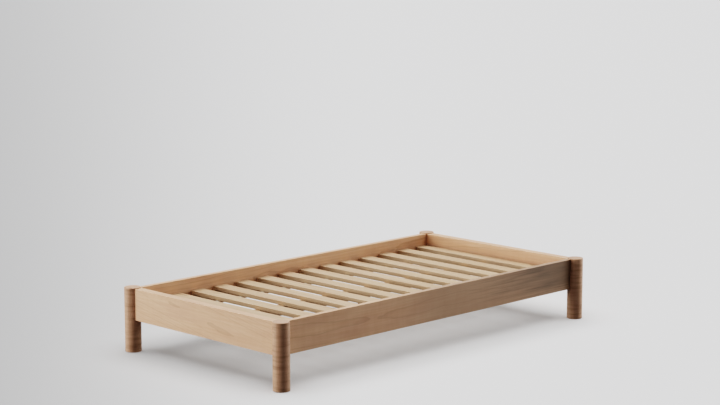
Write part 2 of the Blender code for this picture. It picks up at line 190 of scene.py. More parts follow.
FRAME_TIMBER = {
    "pale": rgb(0.715, 0.470, 0.308),
    "deep": rgb(0.595, 0.355, 0.220),
    "line": rgb(0.300, 0.165, 0.095),
    # shade: the colour of the painted shade that darkens a board towards its far end
    "shade": rgb(0.260, 0.165, 0.102),
    # stain: the colour of a dark patch that is partly heartwood and partly painted shade
    "stain_and_shade": rgb(0.120, 0.070, 0.033),
    "roughness": 0.46,
    "ring_width": 0.0085,
    "earlywood": 0.70,
    "ring_contrast": 0.34,
    "streak": 0.45,
    "fleck": 0.30,
}
POST_TIMBER = dict(FRAME_TIMBER, pale=rgb(0.650, 0.415, 0.280), deep=rgb(0.510, 0.310, 0.205),
                   ring_width=0.0060, ring_contrast=0.25)
DECK_TIMBER = {
    "pale": rgb(0.600, 0.435, 0.290),
    "deep": rgb(0.500, 0.340, 0.210),
    "line": rgb(0.330, 0.190, 0.095),
    "roughness": 0.60,
    "ring_width": 0.0055,
    "earlywood": 0.45,
    "ring_contrast": 0.55,
    "streak": 0.25,
    "fleck": 0.12,
}
ROSY = rgb(0.50, 0.27, 0.19)         # some parts of a board are warmer than others
WOOD_BUMP = 0.00012
WOOD_IOR = 1.48
WANDER_RATE = 1.3                    # how fast the log's heart wanders along a board
WANDER = (0.06, 0.03)                # how far it wanders across the face and through it
HEART_SHIFT = 0.03                   # how far to either side of a board's middle it may start
WAVER_SCALES = (5.0, 14.0, 14.0)
WAVER = 1.1                          # how uneven a ring's outline is, in ring widths
LATEWOOD_END = 0.96                  # of a ring's width, where its dark line is darkest
END_GRAIN_SHADE = 0.18
# Where the painted shade along a board deepens, standing in for light that falls off towards its far
# end
PAINTED_SHADE_RUN = (-0.45, 0.1)              # from the board's middle, in half lengths
FAR_AWAY = 40                        # range of random shifts, so that no two boards look alike
# How the wood varies: scale along the fibres, scale across them, detail and roughness
GRAIN = {
    "fibre": (7.0, 420.0, 3.0, 0.60),
    "streak": (3.0, 95.0, 4.0, 0.55),
    "tone": (2.0, 11.0, 2.0, 0.50),
    "warmth": (4.0, 26.0, 2.0, 0.50),
    "curl": (34.0, 8.0, 2.0, 0.50),
    "band": (62.0, 7.0, 3.0, 0.60),
    "fleck": (95.0, 900.0, 1.0, 0.50),
}


class Board:
    """One piece of wood: which way it lies in its log, and what its figure is."""

    def __init__(self, node, grain, seed, lean=0.0, depth=0.08, curl=0.12, bands=0.0, painted_shade_falloff=0.0,
                 stain_and_shade=None):
        self.node = node
        self.grain = grain          # the axis, 0 to 2, that the fibres follow
        self.seed = seed
        self.lean = lean            # how fast the log's heart climbs across the board's face
        self.depth = depth          # of the heart behind the board's middle
        self.curl = curl            # strength of the soft ripple across the grain
        self.bands = bands          # strength of the dark bands across the grain
        # Painted shade: how much darker the board is painted towards its far end, for light that falls
        # off there
        self.painted_shade_falloff = painted_shade_falloff            # how much darker the board grows towards its far end
        # The dark patch is partly heartwood and partly painted shade on the board's face
        self.stain_and_shade = stain_and_shade          # place along, place across, length and height of a dark patch

    def axes(self):
        """Return the axes along the fibres, across the face and through the thickness."""
        extent = size(self.node)
        others = [axis for axis in range(3) if axis != self.grain]
        others.sort(key=lambda axis: round(extent[axis], 3), reverse=True)
        return [self.grain] + others


def growth_rings(shader, place, board, kind, pick):
    """Return how dark each point is from its ring's latewood, and that ring's own shade."""
    along, across, through = place
    start = pick.uniform(-FAR_AWAY, FAR_AWAY)
    slow = shader.join(shader.math("MULTIPLY_ADD", along, WANDER_RATE, start), 0.0, 0.0)
    wander = shader.add("ShaderNodeTexNoise", {"Vector": slow, "Scale": 1.0, "Detail": 1.0}, "Color")
    wander = shader.split(wander)
    heart_start = pick.uniform(-HEART_SHIFT, HEART_SHIFT)
    heart_across = shader.math("MULTIPLY_ADD", along, board.lean, heart_start)
    heart_across = shader.math("MULTIPLY_ADD", wander[0], WANDER[0], heart_across)
    heart_depth = pick.choice((-1, 1)) * board.depth - WANDER[1] / 2
    heart_through = shader.math("MULTIPLY_ADD", wander[1], WANDER[1], heart_depth)
    offset = shader.join(shader.math("SUBTRACT", across, heart_across),
                         shader.math("SUBTRACT", through, heart_through), 0.0)
    radius = shader.add("ShaderNodeVectorMath", {0: offset}, "Value", operation="LENGTH")
    start = pick.uniform(-FAR_AWAY, FAR_AWAY)
    waver = shader.noise(shader.stretch(place, WAVER_SCALES, start), detail=3.0)
    rings_out = shader.math("DIVIDE", radius, kind["ring_width"])
    ring = shader.math("MULTIPLY_ADD", waver, WAVER, rings_out)
    phase = shader.math("FRACT", ring)
    number = shader.math("FLOOR", ring)
    own = shader.add("ShaderNodeTexWhiteNoise", {"W": number}, "Value", noise_dimensions="1D")
    latewood = shader.remap(phase, kind["earlywood"], LATEWOOD_END)
    border = shader.remap(phase, LATEWOOD_END, 1.0, 1.0, 0.0)
    line = shader.math("MULTIPLY", latewood, border)
    return shader.math("MULTIPLY", line, shader.remap(own, 0.1, 1.0, 0.15, 1.0)), own


def grain_noises(shader, place, pick):
    """Return the wood's noises by name."""
    noises = {}
    for name, (along, across, detail, roughness) in GRAIN.items():
        start = pick.uniform(-FAR_AWAY, FAR_AWAY)
        stretched = shader.stretch(place, (along, across, across), start)
        noises[name] = shader.noise(stretched, detail=detail, roughness=roughness)
    return noises


def timber(board, kind):
    """Solid wood cut from a log, so that rings, faces and end grain agree on every side."""
    pick = random.Random(board.seed)
    shader = Shader(board.node)
    parts = shader.split(shader.vector("SUBTRACT", shader.place(), tuple(middle(board.node))))
    place = [parts[axis] for axis in board.axes()]
    line, own = growth_rings(shader, place, board, kind, pick)
    noises = grain_noises(shader, place, pick)
    fleck = shader.remap(noises["fleck"], 0.68, 0.78)

    # Slow changes of tone, then streaks, ripple and fibres.
    blend = shader.remap(noises["tone"], 0.25, 0.75, 0.0, 0.55)
    blend = shader.math("MULTIPLY_ADD", own, 0.07, blend)
    streak = shader.remap(noises["streak"], 0.3, 0.7)
    blend = shader.math("MULTIPLY_ADD", streak, kind["streak"], blend)
    blend = shader.math("MULTIPLY_ADD", shader.remap(noises["curl"], 0.3, 0.7), board.curl, blend)
    blend = shader.math("MULTIPLY_ADD", noises["fibre"], 0.20, blend)
    blend = shader.math("SUBTRACT", blend, 0.25, clamp=True)
    colour = shader.mix(blend, kind["pale"], kind["deep"])
    rosy = shader.mix(0.5, colour, ROSY)
    colour = shader.mix(shader.remap(noises["warmth"], 0.45, 0.75, 0.0, 0.5), colour, rosy)

    # The dark marks, with painted shade among them: the darkening towards a board's far end, and part
    # of the dark patch there.
    colour = shader.mix(shader.math("MULTIPLY", line, kind["ring_contrast"]), colour, kind["line"])
    colour = shader.mix(shader.math("MULTIPLY", fleck, kind["fleck"]), colour, kind["line"])
    if board.bands:
        dark = shader.remap(noises["band"], 0.44, 0.72, 0.0, board.bands)
        colour = shader.mix(dark, colour, kind["line"])
    # Painted shade: the board is painted darker towards its far end, standing in for light that falls
    # off along it.
    if board.painted_shade_falloff:
        reach = size(board.node)[board.grain] / 2
        start, end = [share * reach for share in PAINTED_SHADE_RUN]
        painted_shade_falloff = shader.remap(place[0], start, end, 0.0, board.painted_shade_falloff)
        colour = shader.mix(painted_shade_falloff, colour, kind["shade"])
    facing = shader.split(shader.add("ShaderNodeNewGeometry", {}, "Normal"))
    # A dark patch near the far end: partly heartwood, partly painted shade on the face.
    if board.stain_and_shade:
        stain_and_shade = stain_and_shade_mask(shader, place, board, noises, facing[2])
        colour = shader.mix(stain_and_shade, colour, kind["stain_and_shade"])
    end_grain = shader.remap(shader.math("ABSOLUTE", facing[board.grain]),
                             0.75, 0.97, 0.0, END_GRAIN_SHADE)
    colour = shader.mix(end_grain, colour, kind["line"])

    height = shader.math("MULTIPLY_ADD", line, -0.4, shader.math("MULTIPLY", noises["fibre"], 0.7))
    height = shader.math("MULTIPLY_ADD", fleck, -0.5, height)
    rough = shader.math("MULTIPLY_ADD", noises["fibre"], 0.16, kind["roughness"] - 0.08)
    return shader.finish(Base_Color=colour, Roughness=rough, IOR=WOOD_IOR,
                         Normal=shader.bump(height, WOOD_BUMP, 0.6))


def stain_and_shade_mask(shader, place, board, noises, upward):
    """Return the mask of a dark, streaky patch near one end of a board: partly heartwood, partly
    painted shade on its face.
    """
    from_along, from_across, length, height = board.stain_and_shade
    far = shader.math("DIVIDE", shader.math("SUBTRACT", place[0], from_along), length)
    wide = shader.math("DIVIDE", shader.math("SUBTRACT", place[1], from_across), height)
    offset = shader.add("ShaderNodeVectorMath", {0: shader.join(far, wide, 0.0)}, "Value",
                        operation="LENGTH")
    ragged = shader.math("MULTIPLY_ADD", noises["streak"], 1.3, offset)
    patch = shader.remap(ragged, 0.95, 1.8, 0.95, 0.0)
    # The patch is mottled, and fades on the top face: its painted shade lies on the board's face alone.
    kept_off_top = shader.remap(upward, 0.3, 0.9, 1.0, 0.2)
    mottled = shader.math("MULTIPLY", shader.remap(noises["warmth"], 0.35, 0.65, 0.75, 1.0), kept_off_top)
    return shader.math("MULTIPLY", patch, mottled)


# ---------------------------------------------------------------- other materials

WARP_PITCH = 0.0021                  # between two threads of the tape's weave
WEFT_PITCH = 0.0030


def plain_place(shader, scale):
    """Return the object's coordinates, evenly scaled."""
    return shader.vector("MULTIPLY", shader.place(), (scale, scale, scale))


def powder_coat():
    """Satin black powder coat with its fine orange-peel skin."""
    shader = Shader("black_powder_coat")
    peel = shader.noise(plain_place(shader, 1600.0), detail=2.0)
    cloud = shader.noise(plain_place(shader, 40.0), detail=2.0)
    colour = shader.mix(cloud, rgb(0.022, 0.022, 0.024), rgb(0.036, 0.036, 0.038))
    rough = shader.remap(cloud, 0.3, 0.7, 0.42, 0.52)
    return shader.finish(Base_Color=colour, Roughness=rough, Metallic=0.0,
                         Normal=shader.bump(peel, 0.00008, 0.5))


def zinc():
    """Zinc plating: bright, slightly cloudy, with fine turning marks."""
    shader = Shader("zinc_plate")
    cloud = shader.noise(plain_place(shader, 180.0), detail=3.0)
    scratch = shader.noise(plain_place(shader, 2500.0), detail=1.0)
    colour = shader.mix(cloud, rgb(0.60, 0.60, 0.59), rgb(0.72, 0.72, 0.70))
    rough = shader.remap(cloud, 0.3, 0.7, 0.26, 0.40)
    return shader.finish(Base_Color=colour, Roughness=rough, Metallic=1.0,
                         Normal=shader.bump(scratch, 0.00003, 0.5))


def felt():
    """Pressed felt: matted fibres in mixed dark browns."""
    shader = Shader("pressed_felt")
    fibre = shader.noise(plain_place(shader, 1100.0), detail=4.0, roughness=0.7, distortion=1.5)
    clump = shader.noise(plain_place(shader, 260.0), detail=3.0)
    colour = shader.mix(fibre, rgb(0.10, 0.08, 0.065), rgb(0.24, 0.20, 0.165))
    colour = shader.mix(shader.math("MULTIPLY", clump, 0.4), colour, rgb(0.12, 0.10, 0.085))
    return shader.finish(Base_Color=colour, Roughness=0.95,
                         Normal=shader.bump(fibre, 0.0005, 0.8))


def moulded_plastic():
    """Black moulded plastic with a light spark-eroded texture."""
    shader = Shader("moulded_plastic")
    grit = shader.noise(plain_place(shader, 1800.0), detail=2.0)
    cloud = shader.noise(plain_place(shader, 90.0), detail=2.0)
    colour = shader.mix(cloud, rgb(0.030, 0.030, 0.032), rgb(0.045, 0.045, 0.047))
    rough = shader.remap(grit, 0.3, 0.7, 0.44, 0.58)
    return shader.finish(Base_Color=colour, Roughness=rough, Normal=shader.bump(grit, 0.00006, 0.5))


def webbing():
    """Natural cotton tape in a plain weave, with painted shade where its threads dip."""
    shader = Shader("cotton_webbing")
    parts = shader.split(shader.place())
    across = shader.math("SINE", shader.math("MULTIPLY", parts[0], math.tau / WARP_PITCH))
    along = shader.math("SINE", shader.math("MULTIPLY", parts[1], math.tau / WEFT_PITCH))
    weave = shader.math("MULTIPLY", across, along)
    lift = shader.remap(weave, -1.0, 1.0)
    fuzz = shader.noise(plain_place(shader, 1500.0), detail=3.0)
    tone = shader.noise(plain_place(shader, 30.0), detail=2.0)
    # The threads are painted darker where they dip under their neighbours: painted shade in the weave's
    # hollows.
    colour = shader.mix(lift, rgb(0.42, 0.38, 0.30), rgb(0.66, 0.61, 0.51))
    colour = shader.mix(shader.math("MULTIPLY", fuzz, 0.25), colour, rgb(0.74, 0.70, 0.61))
    colour = shader.mix(shader.math("MULTIPLY", tone, 0.2), colour, rgb(0.46, 0.42, 0.34))
    height = shader.math("ADD", lift, shader.math("MULTIPLY", fuzz, 0.3))
    return shader.finish(Base_Color=colour, Roughness=0.88, Normal=shader.bump(height, 0.0004, 0.8))


# ---------------------------------------------------------------- pieces

SHARP_ANGLE = math.radians(40)
STEEL_EDGE = 0.0004                  # rounding of steel and felt edges
CAD_WELD = 0.000002                  # CAD points closer than this become one
FLAT_ANGLE = math.radians(0.3)       # faces that differ by less than this become one


def add_piece(name, mesh, body, material):
    """Put a mesh in the scene as a piece that rides on a CAD body."""
    piece = bpy.data.objects.new(name, mesh)
    bpy.context.scene.collection.objects.link(piece)
    mesh.materials.clear()
    mesh.materials.append(material)
    mesh.shade_smooth()
    mesh.set_sharp_from_angle(angle=SHARP_ANGLE)
    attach(piece, body)
    return piece


def to_mesh(name, builder):
    """Turn a bmesh into a mesh with its faces pointing out."""
    bmesh.ops.recalc_face_normals(builder, faces=builder.faces)
    mesh = bpy.data.meshes.new(name)
    builder.to_mesh(mesh)
    builder.free()
    return mesh


def welded_mesh(name, node):
    """Return a CAD node's shape as one clean mesh with flat faces in one piece."""
    source = NODES[node].data
    builder = bmesh.new()
    for vertex in source.vertices:
        builder.verts.new(vertex.co)
    builder.verts.ensure_lookup_table()
    for polygon in source.polygons:
        builder.faces.new([builder.verts[index] for index in polygon.vertices])
    bmesh.ops.remove_doubles(builder, verts=builder.verts, dist=CAD_WELD)
    bmesh.ops.dissolve_limit(builder, angle_limit=FLAT_ANGLE, use_dissolve_boundaries=False,
                             verts=builder.verts, edges=builder.edges)
    return to_mesh(name, builder)


def refine(node, material, body="frame", bevel=0.0):
    """Stand a smoothly shaded copy of a CAD node in for it, with its sharp edges eased."""
    piece = add_piece(f"{node}_surface", welded_mesh(f"{node}_surface", node), body, material)
    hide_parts(node)
    if bevel:
        eased = piece.modifiers.new("Eased edges", "BEVEL")
        eased.width = bevel
        eased.segments = 2
        eased.limit_method = "ANGLE"
        eased.angle_limit = SHARP_ANGLE
    piece.modifiers.new("Flat faces stay flat", "WEIGHTED_NORMAL").keep_sharp = True
    return piece


# ---------------------------------------------------------------- timber pieces

def make_timber():
    """Posts, rails, ledgers, slats, beam and leg, each cut from its own piece of wood."""
    for number, name in enumerate(CORNERS):
        board = Board(f"post_{name}", 2, 11 + number, depth=0.05, curl=0.40, bands=0.62)
        refine(board.node, timber(board, POST_TIMBER))
    # The dark patch at the head end of the right rail: partly heartwood, partly painted shade.
    dark_end = (size("side_rail_right").y / 2, 0.045, 0.70, 0.16)
    rails = [
        Board("foot_rail", 0, 31, lean=-0.19, depth=0.07),
        Board("head_rail", 0, 32, lean=0.08, depth=0.09),
        Board("side_rail_left", 1, 41, lean=0.02, depth=0.10),
        # The right rail is painted darker towards its head end, as painted shade.
        Board("side_rail_right", 1, 42, lean=-0.02, depth=0.10, curl=0.22, painted_shade_falloff=0.56,
              stain_and_shade=dark_end),
    ]
    for board in rails:
        refine(board.node, timber(board, FRAME_TIMBER))
    for number, name in enumerate(("ledger_left", "ledger_right", "centre_beam")):
        refine(name, timber(Board(name, 1, 51 + number), DECK_TIMBER))
    for number, name in enumerate(SLATS):
        lean = random.Random(number).uniform(-0.04, 0.04)
        refine(name, timber(Board(name, 0, 61 + number, lean=lean), DECK_TIMBER))
    refine("centre_leg", timber(Board("centre_leg", 2, 91), DECK_TIMBER))


# ---------------------------------------------------------------- fasteners

SCREW_HEAD = 0.0042                  # radius
SCREW_HEIGHT = 0.0021
DOME_DEGREES = (20, 40, 55)          # where the rings of a screw head's dome lie
DOME_TOP = 60
CROSS_ARM = 0.0022                   # length of the recess's arms
CROSS_HALF_WIDTH = 0.00055
CROSS_DEPTH = 0.0013
HEAD_SIDES = 48
HEX_SIDES = 48
BOLT_PITCH = 0.00125
STUD_PITCH = 0.0015
THREAD_SIDES = 24
THREAD_DEPTH = 0.60                  # of the pitch
WELD = 0.00002                       # points closer than this become one
NUT_HEIGHT = 0.0065
NUT_CORNERS = 0.014                  # a bolt nut taller than this stands on its corners
CONTACT = 0.00005                    # how far a screw head is pressed into its seat
STEEL = 0.003                        # thickness of the sheet-steel fittings
CHEEK_GAP = 0.0003                   # between the beam and a hanger's cheek
BRACKET_FLANGE = 0.030
LEDGER_SCREWS = 9
LEDGER_SCREW_MARGIN = 0.060          # from a ledger's end to its first screw
BRACKET_SCREW_LIFT = 0.27            # shares of a fitting's size, from its middle to its screws
HANGER_SCREW_LIFT = 0.32
PLATE_SCREW_REACH = (0.30, 0.38)
HEXAGON_ANGLE = math.radians(30)     # from the middle of a hexagon's flat to its corner
NUT_CHAMFER = 0.10                   # of a nut's height, at its bore
NUT_FACE = 0.94                      # of a nut's width, the round flat of its end
NUT_SLOPE = math.radians(30)         # of the chamfer on its corners
RECESS_TAPER = 0.55                  # of a cross recess's size, what is left at its bottom


def skin(builder, loops):
    """Join each closed loop of points to the next one with a band of faces."""
    for lower, upper in zip(loops, loops[1:]):
        for index in range(len(lower)):
            following = (index + 1) % len(lower)
            builder.faces.new([lower[index], lower[following], upper[following], upper[index]])


def turned(profile, sides, start, direction):
    """Return a surface that runs through rings of points, and the rings themselves.

    A ring's radius or height may be a function of the angle.
    """
    turn = Vector(direction).to_track_quat("Z", "Y")
    builder = bmesh.new()
    rings = []
    for radius, height in profile:
        points = []
        for index in range(sides):
            angle = math.tau * index / sides
            reach = radius(angle) if callable(radius) else radius
            rise = height(angle) if callable(height) else height
            spot = Vector((reach * math.cos(angle), reach * math.sin(angle), rise))
            points.append(builder.verts.new(Vector(start) + turn @ spot))
        rings.append(points)
    skin(builder, rings)
    return builder, rings


def cross_radius(angle, scale=1.0):
    """Return the distance from a cross recess's middle to its outline."""
    offset = abs((angle + math.pi / 4) % (math.pi / 2) - math.pi / 4)
    arm_end = CROSS_ARM / math.cos(offset)
    arm_side = CROSS_HALF_WIDTH / max(math.sin(offset), 1e-6)
    return scale * min(arm_end, arm_side)


def screw_head(start, direction):
    """Return a pan head with a cross recess."""
    dome = [(SCREW_HEAD * math.cos(lift), SCREW_HEIGHT * math.sin(lift))
            for lift in [math.radians(degrees) for degrees in DOME_DEGREES]]
    flat = SCREW_HEIGHT * math.sin(math.radians(DOME_TOP))
    profile = [(SCREW_HEAD, 0.0)] + dome
    profile += [(cross_radius, flat),
                (lambda angle: cross_radius(angle, RECESS_TAPER), flat - CROSS_DEPTH)]
    builder, rings = turned(profile, HEAD_SIDES, start, direction)
    builder.faces.new(rings[0])
    builder.faces.new(rings[-1])
    return builder


def hex_radius(width):
    """Return a function that gives a hexagon's outline from its width across flats."""
    def outline(angle):
        from_flat = angle % (2 * HEXAGON_ANGLE) - HEXAGON_ANGLE
        return width / 2 / math.cos(from_flat)
    return outline


def hex_nut(start, direction, width, height, bore):
    """Return a hexagonal nut, chamfered at both ends, with a chamfered bore."""
    outline = hex_radius(width)
    chamfer = height * NUT_CHAMFER
    inner = bore + chamfer

    def drop(angle):
        return (outline(angle) - width / 2) * math.tan(NUT_SLOPE)

    face = width / 2 * NUT_FACE
    profile = [(bore, chamfer), (inner, 0.0), (face, 0.0), (outline, drop),
               (outline, lambda angle: height - drop(angle)), (face, height), (inner, height),
               (bore, height - chamfer)]
    builder, rings = turned(profile, HEX_SIDES, start, direction)
    skin(builder, [rings[-1], rings[0]])
    return builder


def threaded_rod(start, direction, radius, length, pitch):
    """Return a rod with a real helical thread, chamfered at its free end."""
    turn = Vector(direction).to_track_quat("Z", "Y")
    root = radius - THREAD_DEPTH * pitch
    teeth = [(0.00, root), (0.12, root), (0.44, radius), (0.56, radius), (0.88, root)]
    builder = bmesh.new()
    rows = []
    for step in range(-1, int(length / pitch) + 2):
        for share, reach in teeth:
            points = []
            for index in range(THREAD_SIDES + 1):
                height = (step + share + index / THREAD_SIDES) * pitch
                angle = math.tau * index / THREAD_SIDES
                inside = 0.0 < height < length
                height = min(max(height, 0.0), length)
                own = min(reach, root + length - height) if inside else root
                spot = Vector((own * math.cos(angle), own * math.sin(angle), height))
                points.append(builder.verts.new(Vector(start) + turn @ spot))
            rows.append(points)
    for lower, upper in zip(rows, rows[1:]):
        for index in range(THREAD_SIDES):
            builder.faces.new([lower[index], lower[index + 1], upper[index + 1], upper[index]])
    bmesh.ops.remove_doubles(builder, verts=builder.verts, dist=WELD)
    bmesh.ops.dissolve_degenerate(builder, edges=builder.edges, dist=WELD)
    bmesh.ops.holes_fill(builder, edges=[edge for edge in builder.edges if edge.is_boundary])
    return builder


def merge(builders):
    """Join several bmeshes into the first one."""
    first = builders[0]
    for other in builders[1:]:
        spare = bpy.data.meshes.new("spare")
        other.to_mesh(spare)
        other.free()
        first.from_mesh(spare)
        bpy.data.meshes.remove(spare)
    return first


def make_screw_heads(name, places, material):
    """Make one piece of the screw heads that hold a fitting: (place, direction) pairs."""
    builder = merge([screw_head(Vector(place) - Vector(direction) * CONTACT, direction)
                     for place, direction in places])
    add_piece(name, to_mesh(name, builder), "frame", material)


def outer(node, axis, side):
    """Return a CAD node's outermost coordinate along an axis, on the bed's side given by a sign."""
    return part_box(node)[1 if side > 0 else 0][axis]


def corner_signs(name):
    """Return a corner's signs along X and Y."""
    end, side = name.split("_")
    return SIDES[side], ENDS[end]


def bracket_screws(name):
    """Give the screws of one corner bracket: two in each flange."""
    node = f"corner_bracket_{name}"
    side, end = corner_signs(name)
    wall_x = outer(node, 0, side)
    wall_y = outer(node, 1, end)
    far_x = outer(node, 0, -side) + side * BRACKET_FLANGE / 2
    far_y = outer(node, 1, -end) + end * BRACKET_FLANGE / 2
    for lift in (-1, 1):
        z = middle(node).z + lift * size(node).z * BRACKET_SCREW_LIFT
        yield (far_x, wall_y - end * STEEL, z), (0, -end, 0)
        yield (wall_x - side * STEEL, far_y, z), (-side, 0, 0)


def hanger_screws(end_name):
    """Give the screws of one beam hanger: three in each ear and one in each cheek."""
    node = f"beam_hanger_{end_name}"
    end = ENDS[end_name]
    wall = outer(node, 1, end)
    cheek = size("centre_beam").x / 2 + STEEL
    ear = (cheek + outer(node, 0, 1)) / 2
    for side in SIDES.values():
        for lift in (-1, 0, 1):
            z = middle(node).z + lift * size(node).z * HANGER_SCREW_LIFT
            yield (side * ear, wall - end * STEEL, z), (0, -end, 0)
        yield (side * (cheek + CHEEK_GAP), middle(node).y, middle(node).z), (side, 0, 0)


def plate_screws():
    """Give the four screws of the leg plate, which go up into the beam."""
    centre = middle("leg_plate")
    extent = size("leg_plate")
    x_share, y_share = PLATE_SCREW_REACH
    for side in (-1, 1):
        for end in (-1, 1):
            place = (side * extent.x * x_share, end * extent.y * y_share, centre.z - extent.z / 2)
            yield place, (0, 0, -1)


def ledger_screws(side_name):
    """Give the evenly spaced screws along one ledger."""
    node = f"ledger_{side_name}"
    side = SIDES[side_name]
    centre = middle(node)
    reach = size(node).y / 2 - LEDGER_SCREW_MARGIN
    for index in range(LEDGER_SCREWS):
        y = -reach + 2 * reach * index / (LEDGER_SCREWS - 1)
        yield (outer(node, 0, -side), y, centre.z), (-side, 0, 0)


def replace_node(node, builder, material, body="frame"):
    """Stand a detailed piece in for a CAD node."""
    piece = add_piece(f"{node}_detail", to_mesh(f"{node}_detail", builder), body, material)
    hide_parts(node)
    return piece


def countersunk_screw(node):
    """Return a countersunk wood screw with a cross recess, as long as its CAD node."""
    centre = middle(node)
    extent = size(node)
    head = extent.x / 2
    shank = head / 2
    profile = [(shank / 2, -extent.z), (shank, 2 * head - extent.z), (shank, -shank), (head, 0.0),
               (cross_radius, 0.0),
               (lambda angle: cross_radius(angle, RECESS_TAPER), -CROSS_DEPTH)]
    top = (centre.x, centre.y, centre.z + extent.z / 2)
    builder, rings = turned(profile, HEAD_SIDES, top, (0, 0, 1))
    builder.faces.new(rings[0])
    builder.faces.new(rings[-1])
    return builder


def make_corner_fasteners(name, bright):
    """The hanger bolt, its nut and the bracket's screws at one corner."""
    side, end = corner_signs(name)
    inwards = Vector((-side, -end, 0)).normalized()
    bolt = f"hanger_bolt_{name}"
    radius = size(bolt).z / 2
    # The CAD bolt lies along the diagonal, with half its radius at one end.
    length = size(bolt).x * math.sqrt(2) - 1.5 * radius
    start = middle(bolt) - inwards * length / 2
    rod = threaded_rod(start, inwards, radius, length, BOLT_PITCH)
    replace_node(bolt, rod, bright)
    nut = f"bolt_nut_{name}"
    width = size(nut).z * (1.0 if size(nut).z < NUT_CORNERS else math.cos(HEXAGON_ANGLE))
    seat = middle(nut) - inwards * NUT_HEIGHT / 2
    replace_node(nut, hex_nut(seat, inwards, width, NUT_HEIGHT, radius), bright)
    make_screw_heads(f"corner_bracket_screws_{name}", bracket_screws(name), bright)
    screw = f"slat_screw_{name}"
    replace_node(screw, countersunk_screw(screw), bright)


def make_leveller(bright, plastic):
    """The levelling foot, its threaded stud and its lock nut."""
    refine("leveller_foot", plastic, "leveller")
    low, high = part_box("leveller_stud")
    radius = (high[0] - low[0]) / 2
    rod = threaded_rod((0, 0, low[2]), (0, 0, 1), radius, high[2] - low[2], STUD_PITCH)
    replace_node("leveller_stud", rod, bright, "leveller")
    low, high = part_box("leveller_nut")
    nut = hex_nut((0, 0, low[2]), (0, 0, 1), high[1] - low[1], high[2] - low[2], radius)
    replace_node("leveller_nut", nut, bright, "leveller")


def make_fittings():
    """Brackets, hangers, plate, bolts, nuts, screws, pads and the levelling foot."""
    black = powder_coat()
    bright = zinc()
    wool = felt()
    for name in CORNERS:
        refine(f"corner_bracket_{name}", black, bevel=STEEL_EDGE)
        refine(f"floor_pad_{name}", wool, bevel=STEEL_EDGE)
        make_corner_fasteners(name, bright)
    for name in ENDS:
        refine(f"beam_hanger_{name}", black, bevel=STEEL_EDGE)
        make_screw_heads(f"beam_hanger_screws_{name}", hanger_screws(name), bright)
    for name in SIDES:
        make_screw_heads(f"ledger_screws_{name}", ledger_screws(name), bright)
    refine("leg_plate", black, bevel=STEEL_EDGE)
    make_screw_heads("leg_plate_screws", plate_screws(), bright)
    refine("leg_insert", bright)
    make_leveller(bright, moulded_plastic())


# ---------------------------------------------------------------- slat straps

TAPE_COLUMNS = 10
RIB_DEPTH = 0.00018
TAPE_SAG = 0.0004                    # between two slats
TAPE_SAG_RUN = 0.012                 # from a slat's edge to where the sag is full
STAPLE_WIDTH = 0.011
STAPLE_LEG = 0.006
STAPLE_WIRE = 0.0007
STAPLE_BEND = 0.0012


def tape_sag(y, slat_places, half_slat):
    """Return how far the tape hangs below the slats at a place along the bed."""
    clear = min(abs(y - place) for place in slat_places) - half_slat
    return TAPE_SAG * min(1.0, max(0.0, clear / TAPE_SAG_RUN))


def woven_tape(node):
    """Return a ribbed tape that fills its CAD strap: alternate threads stand out on each face."""
    low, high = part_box(node)
    rows = round((high[1] - low[1]) / WEFT_PITCH)
    half = (high[2] - low[2]) / 2
    slat_places = [middle(slat).y for slat in SLATS]
    half_slat = size(SLATS[0]).y / 2
    builder = bmesh.new()
    loops = []
    for row in range(rows + 1):
        y = low[1] + (high[1] - low[1]) * row / rows
        z = (low[2] + high[2]) / 2 - tape_sag(y, slat_places, half_slat)
        loop = []
        for face in (1, -1):
            columns = range(TAPE_COLUMNS + 1)
            for column in columns if face > 0 else reversed(columns):
                x = low[0] + (high[0] - low[0]) * column / TAPE_COLUMNS
                edge = column in (0, TAPE_COLUMNS)
                rib = RIB_DEPTH * ((row + column) % 2 + 2 * edge)
                loop.append(builder.verts.new((x, y, z + face * (half - rib))))
        loops.append(loop)
    skin(builder, loops)
    builder.faces.new(loops[0])
    builder.faces.new(loops[-1])
    return builder


def staple(place):
    """Return a wire staple whose crown lies under the tape and whose legs go up into a slat."""
    outline = []
    for side, wire in ((1, 0.0), (-1, STAPLE_WIRE)):
        half = STAPLE_WIDTH / 2 - wire
        bend = STAPLE_BEND - wire
        points = [(-half, STAPLE_LEG)]
        for degrees in (180, 210, 240, 270):
            angle = math.radians(degrees)
            points.append((-half + bend + bend * math.cos(angle), STAPLE_BEND + bend * math.sin(angle)))
        points += [(-x, z) for x, z in reversed(points)]
        outline += points if side > 0 else points[::-1]
    builder = bmesh.new()
    loops = []
    for y in (-STAPLE_WIRE, STAPLE_WIRE):
        loops.append([builder.verts.new(Vector(place) + Vector((x, y, z))) for x, z in outline])
        builder.faces.new(loops[-1])
    skin(builder, loops)
    return builder


def make_straps():
    """Woven tapes under the slats, stapled to each of them."""
    tape = webbing()
    wire = zinc()
    for side_name in SIDES:
        node = f"slat_strap_{side_name}"
        low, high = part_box(node)
        piece = replace_node(node, woven_tape(node), tape)
        places = [(middle(node).x, middle(slat).y, low[2] - STAPLE_WIRE) for slat in SLATS]
        builder = merge([staple(place) for place in places])
        name = f"strap_staples_{side_name}"
        add_piece(name, to_mesh(name, builder), "frame", wire)


# ---------------------------------------------------------------- stage

STAGE_RADIUS = 60.0
STAGE_SIDES = 96
FLOOR_GLOW = 0.086                   # stands in for the light that scatters in under the bed
